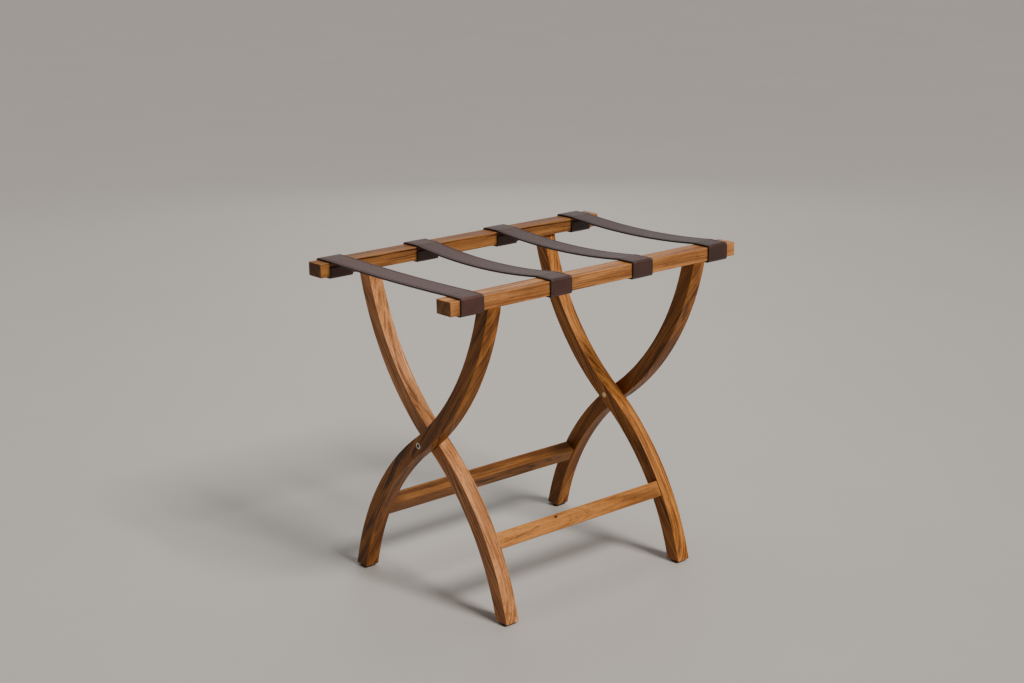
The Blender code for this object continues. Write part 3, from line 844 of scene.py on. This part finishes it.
def span_path(facts, y_from, y_to, steps):
    """The strap's underside between two distances from mid span, on the front side.

    It hangs in a parabola, eased over its first few millimetres so that it leaves the rail level.
    """
    y = -np.linspace(y_from, y_to, steps)
    share = y / facts["hinge_y"]
    start_slope = 2 * facts["sag"] / facts["hinge_y"]
    gone = np.clip((facts["hinge_y"] + y) / EASE_LENGTH, 0.0, 1.0)
    lift = start_slope * EASE_LENGTH * gone * (1 - gone) ** 2
    z = RAIL_TOP - facts["sag"] * (1 - share * share) + lift
    slope = start_slope * share + start_slope * (1 - gone) * (1 - 3 * gone)
    normal = np.stack([-slope, np.ones(steps)], axis=1)
    normal /= np.linalg.norm(normal, axis=1)[:, None]
    return np.stack([y, z], axis=1), normal


def strap_piece(name, facts, side, path, normals, finish, tail=False, **rest):
    """The leather's section carried along a path, mirrored in Y for the back rail.

    At a tail the last rings draw in, so that the cut end is rounded like the sides.
    """
    x, z, edge, groove = strap_section(facts["half"], facts["thickness"])
    pull = np.zeros(len(path))
    if tail:
        rounding = sizes().strap_edge * TAIL_END
        inset, back = end_rounding(rounding)
        along = path[-1] - path[-2]
        along /= np.linalg.norm(along)
        path = np.concatenate([path, path[-1] + (rounding - back[1:, None]) * along])
        normals = np.concatenate([normals, np.repeat(normals[-1:], len(back) - 1, axis=0)])
        pull = np.concatenate([pull, inset[1:]])
    middle = facts["thickness"] / 2
    out = CLEARANCE + middle + (z - middle)[None, :] * (1 - pull / middle * 0.99)[:, None]
    points = np.empty((len(path), len(x), 3))
    points[:, :, 0] = facts["centre"] + x[None, :] * (1 - pull / facts["half"])[:, None]
    points[:, :, 1] = -side * (path[:, 0:1] + out * normals[:, 0:1])
    points[:, :, 2] = path[:, 1:2] + out * normals[:, 1:2]
    # The shade mark carries the strap's painted light and shade; the groove mark sets where the grooves
    # get painted shadow.
    marks = {
        "edge": np.maximum(edge[None, :], (pull > 0)[:, None]),
        "groove": np.broadcast_to(groove[None, :], points.shape[:2]),
        "shade": np.full(points.shape[:2], facts["shade"]),
    }
    faces = tube_faces(len(path), len(x))
    return add_mesh(name, points.reshape(-1, 3), faces, finish, marks=marks, **rest)


def stitch_run(facts, side, path, normals, offset, first, spare):
    """Stitches in two rows along a surface at an offset from the path: their points, and the twist of the
    thread at each point.

    Each is a short tube that tapers at both ends, slants a little and follows the surface's curve.
    """
    size = sizes()
    line = path + normals * offset
    travelled = np.append(0.0, np.cumsum(np.linalg.norm(np.diff(line, axis=0), axis=1)))
    places = np.arange(first, travelled[-1] - spare, size.stitch_pitch)
    share = np.linspace(-0.5, 0.5, STITCH_RINGS)
    taper = np.sqrt(1 - (STITCH_TAPER * share) ** 2)
    angle = np.arange(STITCH_SIDES) * 2 * math.pi / STITCH_SIDES
    at = places[:, None] + share[None, :] * size.stitch_length
    y, z = (np.interp(at, travelled, line[:, part]) for part in (0, 1))
    ny, nz = (np.interp(at, travelled, normals[:, part]) for part in (0, 1))
    radius = size.stitch_radius * taper[None, None, :, None]
    row = np.array([-1.0, 1.0]) * (facts["half"] - size.stitch_inset)
    slant = share[None, None, :, None] * 2 * STITCH_SLANT
    x = facts["centre"] + row[:, None, None, None] + slant + radius * np.cos(angle)
    x = np.broadcast_to(x, (2, len(places), STITCH_RINGS, STITCH_SIDES))
    out = radius * np.sin(angle)
    points = np.stack([
        x,
        np.broadcast_to(-side * (y[None, :, :, None] + out * ny[None, :, :, None]), x.shape),
        np.broadcast_to(z[None, :, :, None] + out * nz[None, :, :, None], x.shape),
    ], axis=-1)
    twist = np.broadcast_to(
        share[:, None] * 3.0 + np.arange(STITCH_SIDES)[None, :] / STITCH_SIDES * 2.0, x.shape)
    count = 2 * len(places)
    return points.reshape(count, -1, 3), twist.reshape(count, -1)


def add_stitches(name, runs, **rest):
    """One object of all the stitches in several runs, each stitch a closed tube."""
    points = np.concatenate([points for points, twist in runs])
    twist = np.concatenate([twist for points, twist in runs])
    one = tube_faces(STITCH_RINGS, STITCH_SIDES)
    size = STITCH_RINGS * STITCH_SIDES
    quads = np.array([face for face in one if len(face) == 4])
    caps = np.array([face for face in one if len(face) == STITCH_SIDES])
    steps = np.arange(len(points))[:, None, None] * size
    faces = (quads[None] + steps).reshape(-1, 4).tolist()
    faces += (caps[None] + steps).reshape(-1, STITCH_SIDES).tolist()
    marks = {"twist": twist}
    return add_mesh(name, points.reshape(-1, 3), faces, kept(thread_finish), marks=marks, **rest)


def strap_halves():
    """Each half of each strap: its facts, side, the start of its nodes' names, and its frame's body."""
    for number in range(1, len(STRAP_PAINTED_LIGHT) + 1):
        facts = strap_facts(number)
        for side, sign in SIDES:
            yield facts, sign, "strap_%d_%s" % (number, side), FRAME_BODY[side]


def span_parts(facts, stem, sign, body):
    """A half strap's run and middle piece: the path and normals of each, the two bodies that it lies
    between, and two points along it."""
    joint = facts["curl_y"]
    seam = (facts["hinge_y"] + joint) / 2
    x = facts["centre"]

    def point(distance):
        return x, sign * distance, RAIL_TOP

    run, middle = stem + "_run", stem + "_middle"
    hinge = facts["hinge_y"]
    yield "run", *span_path(facts, hinge, seam, 28), (body, run), point(hinge), point(hinge - BEND_LENGTH)
    yield (
        "middle", *span_path(facts, seam, 0.0, 36), (run, middle),
        point(joint + CURL_LENGTH), point(joint - CURL_LENGTH),
    )


# ---------------------------------------------------------------- wood

def middle_of(node):
    low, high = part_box(node)
    return (low + high) / 2


def piece_wood(node, grain, face):
    """The wood of one piece, cut from its own place in the log, with its own knots."""
    return wood_finish("wood_" + node, middle_of(node), grain, face, *WOOD_CUTS[node])


class RackPiece:
    """What the operators share: they all run on the loaded frame and always finish."""

    bl_options = {"REGISTER", "UNDO"}


class RACK_OT_rails(RackPiece, bpy.types.Operator):
    """Add the front rail and the back rail"""

    bl_idname = "rack.rails"
    bl_label = "Rails"

    def execute(self, context):
        for side, body in FRAME_BODY.items():
            node = "rail_" + side
            low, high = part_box(node)
            centre = middle_of(node)
            half = (high - low) / 2
            straight_bar(
                node + "_wood", centre.y, centre.z, half.x, half.y, half.z, 0.0, sizes().rail_edge,
                piece_wood(node, (1, 0, 0), (0, 1, 0.5)),
                body=body, slot="frame_wood", replaces=[node],
            )
        return {"FINISHED"}


class RACK_OT_legs(RackPiece, bpy.types.Operator):
    """Add the four S-shaped legs, with a counterbore for the bolt in each outer leg"""

    bl_idname = "rack.legs"
    bl_label = "Legs"

    def execute(self, context):
        for kind, toward in (("outer", FRONT), ("inner", BACK)):
            for end, _ in ENDS:
                self.add_leg("%s_leg_%s" % (kind, end), kind + "_frame", toward)
        return {"FINISHED"}

    def add_leg(self, node, body, toward):
        low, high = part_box(node)
        half_wide = (high.x - low.x) / 2
        points, edge, sawn = leg_surface(
            (low.x + high.x) / 2, toward, high.z, low.z, half_wide, sizes().leg_depth / 2,
            sizes().wood_edge)
        rise = (high.y - low.y, high.z - low.z)
        lean = math.hypot(*rise) * LEG_CUT_LEAN
        finish = piece_wood(node, (0, toward * rise[0], rise[1]), (lean, toward * rise[1], -rise[0]))
        rings, around = points.shape[:2]
        faces = tube_faces(rings, around)
        marks = {"edge": edge, "end_grain": sawn}
        piece = add_mesh(node + "_wood", points.reshape(-1, 3), faces, finish, marks=marks)
        if node.startswith("outer"):
            self.cut_counterbore(piece, low.x if low.x < 0 else high.x)
        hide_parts(node)
        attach(piece, body)

    def cut_counterbore(self, piece, face_x):
        """Takes a shallow round hole, with a small chamfer, out of the leg's outer face at the pivot."""
        size = sizes()
        sign = math.copysign(1.0, face_x)
        depth, radius = size.bore_depth, size.bore_radius
        profile = [
            (0, -depth), (radius, -depth), (radius, -BORE_CHAMFER), (radius + BORE_CHAMFER, 0.0),
            (radius + 2 * BORE_CHAMFER, BORE_CHAMFER), (0, BORE_CHAMFER),
        ]
        place = (face_x, 0.0, PIVOT_HEIGHT)
        cutter = turned("counterbore", profile, place, (sign, 0, 0), piece.data.materials[0])
        cut = piece.modifiers.new("counterbore", "BOOLEAN")
        cut.operation = "DIFFERENCE"
        cut.solver = "EXACT"
        cut.object = cutter
        bpy.context.view_layer.update()
        graph = bpy.context.evaluated_depsgraph_get()
        mesh = bpy.data.meshes.new_from_object(
            piece.evaluated_get(graph), preserve_all_data_layers=True, depsgraph=graph)
        piece.modifiers.clear()
        piece.data = mesh
        mesh.set_sharp_from_angle(angle=SHARP_ANGLE)
        bpy.data.objects.remove(cutter)


class RACK_OT_stretchers(RackPiece, bpy.types.Operator):
    """Add the stretcher between each pair of legs"""

    bl_idname = "rack.stretchers"
    bl_label = "Stretchers"

    def execute(self, context):
        size = sizes()
        for side, body, toward in (("front", "inner_frame", BACK), ("back", "outer_frame", FRONT)):
            node = "stretcher_" + side
            low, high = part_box(node)
            centre = middle_of(node)
            rise = (centre.z - PIVOT_HEIGHT) / size.leg_radius
            slope = math.asin(rise + math.sin(size.leg_slope))
            tilt = slope * toward
            straight_bar(
                node + "_wood", centre.y, centre.z, (high.x - low.x) / 2,
                size.stretcher_depth / 2, size.stretcher_width / 2, tilt, size.wood_edge,
                piece_wood(node, (1, 0, 0), (0, math.cos(tilt), -math.sin(tilt))),
                body=body, slot="frame_wood", replaces=[node],
            )
        return {"FINISHED"}


class RACK_OT_dowels(RackPiece, bpy.types.Operator):
    """Finish the dowels inside the joints and the washers between the legs"""

    bl_idname = "rack.dowels"
    bl_label = "Dowels and washers"

    def execute(self, context):
        for kind, maker in (("_dowel_", dowel_finish), ("_washer_", nylon_finish)):
            for node, thing in frame["nodes"].items():
                if kind in node:
                    thing.data.materials.clear()
                    thing.data.materials.append(kept(maker))
        return {"FINISHED"}


class RACK_OT_pivots(RackPiece, bpy.types.Operator):
    """Add the two bolts and their barrel nuts"""

    bl_idname = "rack.pivots"
    bl_label = "Bolts and nuts"

    def execute(self, context):
        size = sizes()
        for end, sign in ENDS:
            bolt = (size.bolt_radius, size.head_radius, size.hex_radius)
            self.add_bolt("pivot_bolt_" + end, sign, *bolt)
            nut = (size.nut_radius, size.cap_radius, size.bolt_radius)
            self.add_nut("pivot_nut_" + end, -sign, *nut)
        return {"FINISHED"}

    def add_bolt(self, node, sign, shaft, head, hexagon):
        """A turned bolt: chamfered shaft, thin round head with a rolled edge, and a hexagon socket."""
        low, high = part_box(node)
        total = high.x - low.x
        face = low.x if sign < 0 else high.x
        under = -sizes().head_thickness
        depth = sizes().hex_depth
        profile = [
            (0, -total), (shaft - TIP_CHAMFER, -total), (shaft, TIP_CHAMFER - total), (shaft, under),
            (head - CHAMFER, under), (head, under + CHAMFER),
            *quarter_turn((head - HEAD_LIP, -HEAD_LIP), HEAD_LIP, HEAD_LIP, 6),
            (hexagon * SOCKET_RIMS[0], 0.0), (hexagon * SOCKET_RIMS[1], -SOCKET_DISH),
            (hexagon, -2 * SOCKET_DISH), (hexagon, -depth), (0, -depth - SOCKET_CONE),
        ]
        rings = [len(profile) - 3, len(profile) - 2]
        inside = np.zeros(2 + (len(profile) - 2) * TURNED_SIDES)
        inside[-(1 + 3 * TURNED_SIDES):] = 1.0
        turned(
            node + "_steel", profile, (face, 0, PIVOT_HEIGHT), (sign, 0, 0), kept(bolt_finish),
            hexagon=rings, body="outer_frame", slot="bolt_steel", replaces=[node],
            marks={"hollow": inside},
        )

    def add_nut(self, node, sign, barrel, cap, bore):
        """A turned barrel nut: a bore for the bolt, a chamfered barrel and a low domed cap."""
        low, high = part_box(node)
        face = low.x if sign < 0 else high.x
        total = high.x - low.x
        under = -sizes().cap_thickness
        bore += BORE_PLAY
        dome = quarter_turn((0, -NUT_CROWN), cap, NUT_CROWN, 8)[:-1]
        profile = [
            (0, under - NUT_BLIND), (bore, under - NUT_BLIND), (bore, CHAMFER - total),
            (bore + CHAMFER, -total), (barrel - CHAMFER, -total), (barrel, CHAMFER - total),
            (barrel, under), (cap - FINE_CHAMFER, under), (cap, under + FINE_CHAMFER), *dome, (0, 0),
        ]
        turned(
            node + "_brass", profile, (face, 0, PIVOT_HEIGHT), (sign, 0, 0), kept(brass_finish),
            body="inner_frame", slot="nut_brass", replaces=[node],
        )


class RACK_OT_glides(RackPiece, bpy.types.Operator):
    """Add the nylon glides under the feet"""

    bl_idname = "rack.glides"
    bl_label = "Glides"

    def execute(self, context):
        for kind in ("outer", "inner"):
            for end, _ in ENDS:
                node = "%s_glide_%s" % (kind, end)
                low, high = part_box(node)
                centre = middle_of(node)
                tall = high.z - low.z
                wide = (high.x - low.x) / 2
                narrow = wide * GLIDE_TAPER
                flat = narrow - GLIDE_EDGE
                roll = quarter_turn((flat, GLIDE_EDGE), GLIDE_EDGE, -GLIDE_EDGE, 5)[::-1]
                rim = wide - FINE_CHAMFER
                profile = [
                    (0, 0.0), (flat - 2 * GLIDE_EDGE, 0.0), *roll, (rim, tall - 3 * FINE_CHAMFER),
                    (wide, tall - 2 * FINE_CHAMFER), (rim, tall), (wide - GLIDE_TOP, tall), (0, tall),
                ]
                turned(
                    node + "_nylon", profile, (centre.x, centre.y, low.z), (0, 0, 1),
                    kept(nylon_finish), body=kind + "_frame", slot="glide_nylon", replaces=[node],
                )
        return {"FINISHED"}


class RACK_OT_straps(RackPiece, bpy.types.Operator):
    """Add the leather of the four straps, each from both rails to mid span"""

    bl_idname = "rack.straps"
    bl_label = "Straps"

    def execute(self, context):
        leather = kept(leather_finish)
        for facts, sign, stem, body in strap_halves():
            path, normals = wrap_path(facts)
            strap_piece(
                stem + "_wrap_leather", facts, sign, path, normals, leather, tail=True,
                body=body, slot="strap_leather", replaces=[stem + "_wrap"],
            )
            for part, path, normals, bodies, start, end in span_parts(facts, stem, sign, body):
                piece = strap_piece(
                    "%s_%s_leather" % (stem, part), facts, sign, path, normals, leather,
                    slot="strap_leather", replaces=["%s_%s" % (stem, part)],
                )
                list(bodies)
                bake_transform(piece)
                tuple(start)
                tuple(end)
        return {"FINISHED"}


class RACK_OT_stitching(RackPiece, bpy.types.Operator):
    """Add two rows of stitches along each strap"""

    bl_idname = "rack.stitching"
    bl_label = "Stitching"

    def execute(self, context):
        size = sizes()
        first = size.stitch_pitch / 2
        for facts, sign, stem, body in strap_halves():
            over = CLEARANCE + facts["thickness"] - THREAD_SUNK
            under = CLEARANCE + THREAD_UNDER
            run = stitch_run(facts, sign, *wrap_path(facts), over, first, TAIL_CLEAR)
            add_stitches(stem + "_wrap_stitches", [run], body=body)
            for part, path, normals, bodies, start, end in span_parts(facts, stem, sign, body):
                runs = [
                    stitch_run(facts, sign, path, normals, offset, first, first)
                    for offset in (over, under)
                ]
                piece = add_stitches("%s_%s_stitches" % (stem, part), runs)
                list(bodies)
                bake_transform(piece)
                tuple(start)
                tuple(end)
        return {"FINISHED"}


class RACK_OT_tacks(RackPiece, bpy.types.Operator):
    """Add two domed tacks under each rail, through each strap"""

    bl_idname = "rack.tacks"
    bl_label = "Tacks"

    def execute(self, context):
        radius = sizes().tack_radius
        height = radius * TACK_RISE
        thin = radius * TACK_STEM
        dome = quarter_turn((0, 0), radius, height, 9)[:-1]
        profile = [
            (0, -TACK_LENGTH), (thin, TACK_POINT - TACK_LENGTH), (thin, -TACK_RIM),
            (radius - TACK_RIM / 2, -TACK_RIM), *dome, (0, height),
        ]
        for facts, sign, stem, body in strap_halves():
            face = RAIL_BOTTOM - CLEARANCE - facts["thickness"] - TACK_GAP
            middle = (RAIL_INNER_Y + RAIL_OUTER_Y) / 2
            for end, across in ENDS:
                x = facts["centre"] + across * facts["half"] * TACK_OUT
                turned(
                    "%s_tack_%s" % (stem, end), profile, (x, sign * middle, face), (0, 0, -1),
                    kept(brass_finish), TACK_SIDES, body=body, slot="nut_brass",
                )
        return {"FINISHED"}


class RACK_OT_stage(RackPiece, bpy.types.Operator):
    """Add the floor, the soft lights and the camera"""

    bl_idname = "rack.stage"
    bl_label = "Stage"

    def execute(self, context):
        corners = [(x * FLOOR_HALF, y * FLOOR_HALF, 0) for x, y in ((-1, -1), (1, -1), (1, 1), (-1, 1))]
        add_mesh("floor", corners, [(0, 1, 2, 3)], kept(floor_finish))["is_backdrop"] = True
        self.add_camera()
        warm = (1.0, 0.965, 0.91)
        self.add_sun("key", towards=(0.12, -1.0, 1.05), width=18.0, strength=3.45, shade=warm)
        self.add_area("top", place=(0.5, 0.6, 3.2), size=2.2, power=30.0, shade=(1.0, 1.0, 1.0))
        self.add_area("back", place=(2.3, 2.8, 1.5), size=2.4, power=11.0, shade=(1.0, 0.98, 0.96))
        self.add_world()
        return {"FINISHED"}

    def add_world(self):
        """Dim light from all round, behind which the view sees a grey like the floor's."""
        world = bpy.data.worlds.new("studio")
        studio = Finish(world, "Background")
        seen = studio.node("ShaderNodeLightPath")
        studio.set(Color=(0.90, 0.88, 0.86, 1.0), Strength=seen * SEEN_BEYOND + AMBIENT)
        bpy.context.scene.world = world

    def add_object(self, data):
        made = bpy.data.objects.new(data.name, data)
        bpy.context.scene.collection.objects.link(made)
        return made

    def add_light(self, name, kind, energy, shade, **settings):
        data = bpy.data.lights.new(name, kind)
        for key, value in {"energy": energy, "color": shade, **settings}.items():
            setattr(data, key, value)
        light = self.add_object(data)
        light.rotation_mode = "QUATERNION"
        return light

    def add_camera(self):
        """The camera looks along its yaw and pitch, with a small roll."""
        flat = math.cos(CAMERA_PITCH)
        forward = Vector((
            math.sin(CAMERA_YAW) * flat, math.cos(CAMERA_YAW) * flat, math.sin(CAMERA_PITCH)))
        level = Vector((math.cos(CAMERA_YAW), -math.sin(CAMERA_YAW), 0.0))
        above = level.cross(forward)
        right = level * math.cos(CAMERA_ROLL) + above * math.sin(CAMERA_ROLL)
        upward = above * math.cos(CAMERA_ROLL) - level * math.sin(CAMERA_ROLL)
        data = bpy.data.cameras.new("camera")
        data.sensor_width = 36.0
        data.lens = CAMERA_LENS
        camera = self.add_object(data)
        turn = Matrix((right, upward, -forward)).transposed()
        camera.matrix_world = Matrix.Translation(CAMERA_PLACE) @ turn.to_4x4()
        bpy.context.scene.camera = camera

    def add_sun(self, name, towards, width, strength, shade):
        """Even light from one direction, as wide across the sky as the angle given in degrees."""
        light = self.add_light(name, "SUN", strength, shade, angle=math.radians(width))
        light.rotation_quaternion = Vector(towards).to_track_quat("Z", "Y")

    def add_area(self, name, place, size, power, shade):
        """A round light that faces the rack."""
        light = self.add_light(name, "AREA", power, shade, shape="DISK", size=size)
        light.location = place
        light.rotation_quaternion = (Vector(LIGHTS_AIM) - Vector(place)).to_track_quat("-Z", "Y")


class RACK_PT_panel(bpy.types.Panel):
    """Lists the pieces in the order they are added"""

    bl_idname = "RACK_PT_panel"
    bl_label = "Folding luggage rack"
    bl_space_type = "VIEW_3D"
    bl_region_type = "UI"
    bl_category = "Rack"

    def draw(self, context):
        for group in (context.scene.rack_sizes, context.scene.rack_colours):
            column = self.layout.column(align=True)
            for name in group.__annotations__:
                column.prop(group, name)
        for operator in STEPS:
            self.layout.operator(operator.bl_idname)


STEPS = (
    RACK_OT_rails, RACK_OT_legs, RACK_OT_stretchers, RACK_OT_dowels, RACK_OT_pivots, RACK_OT_glides,
    RACK_OT_straps, RACK_OT_stitching, RACK_OT_tacks, RACK_OT_stage,
)
CLASSES = (RackSizes, RackColours, *STEPS, RACK_PT_panel)


def register():
    for item in CLASSES:
        bpy.utils.register_class(item)
    bpy.types.Scene.rack_sizes = PointerProperty(type=RackSizes)
    bpy.types.Scene.rack_colours = PointerProperty(type=RackColours)


def unregister():
    del bpy.types.Scene.rack_colours
    del bpy.types.Scene.rack_sizes
    for item in reversed(CLASSES):
        bpy.utils.unregister_class(item)


def main():
    """Adds every piece in order."""
    register()
    bpy.ops.rack.rails()
    bpy.ops.rack.legs()
    bpy.ops.rack.stretchers()
    bpy.ops.rack.dowels()
    bpy.ops.rack.pivots()
    bpy.ops.rack.glides()
    bpy.ops.rack.straps()
    bpy.ops.rack.stitching()
    bpy.ops.rack.tacks()
    bpy.ops.rack.stage()
    boxes = {"cad": CAD_BOX, "visual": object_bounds()}
    {key: [list(corner) for corner in box] for key, box in boxes.items()}


if __name__ == "__main__":
    main()
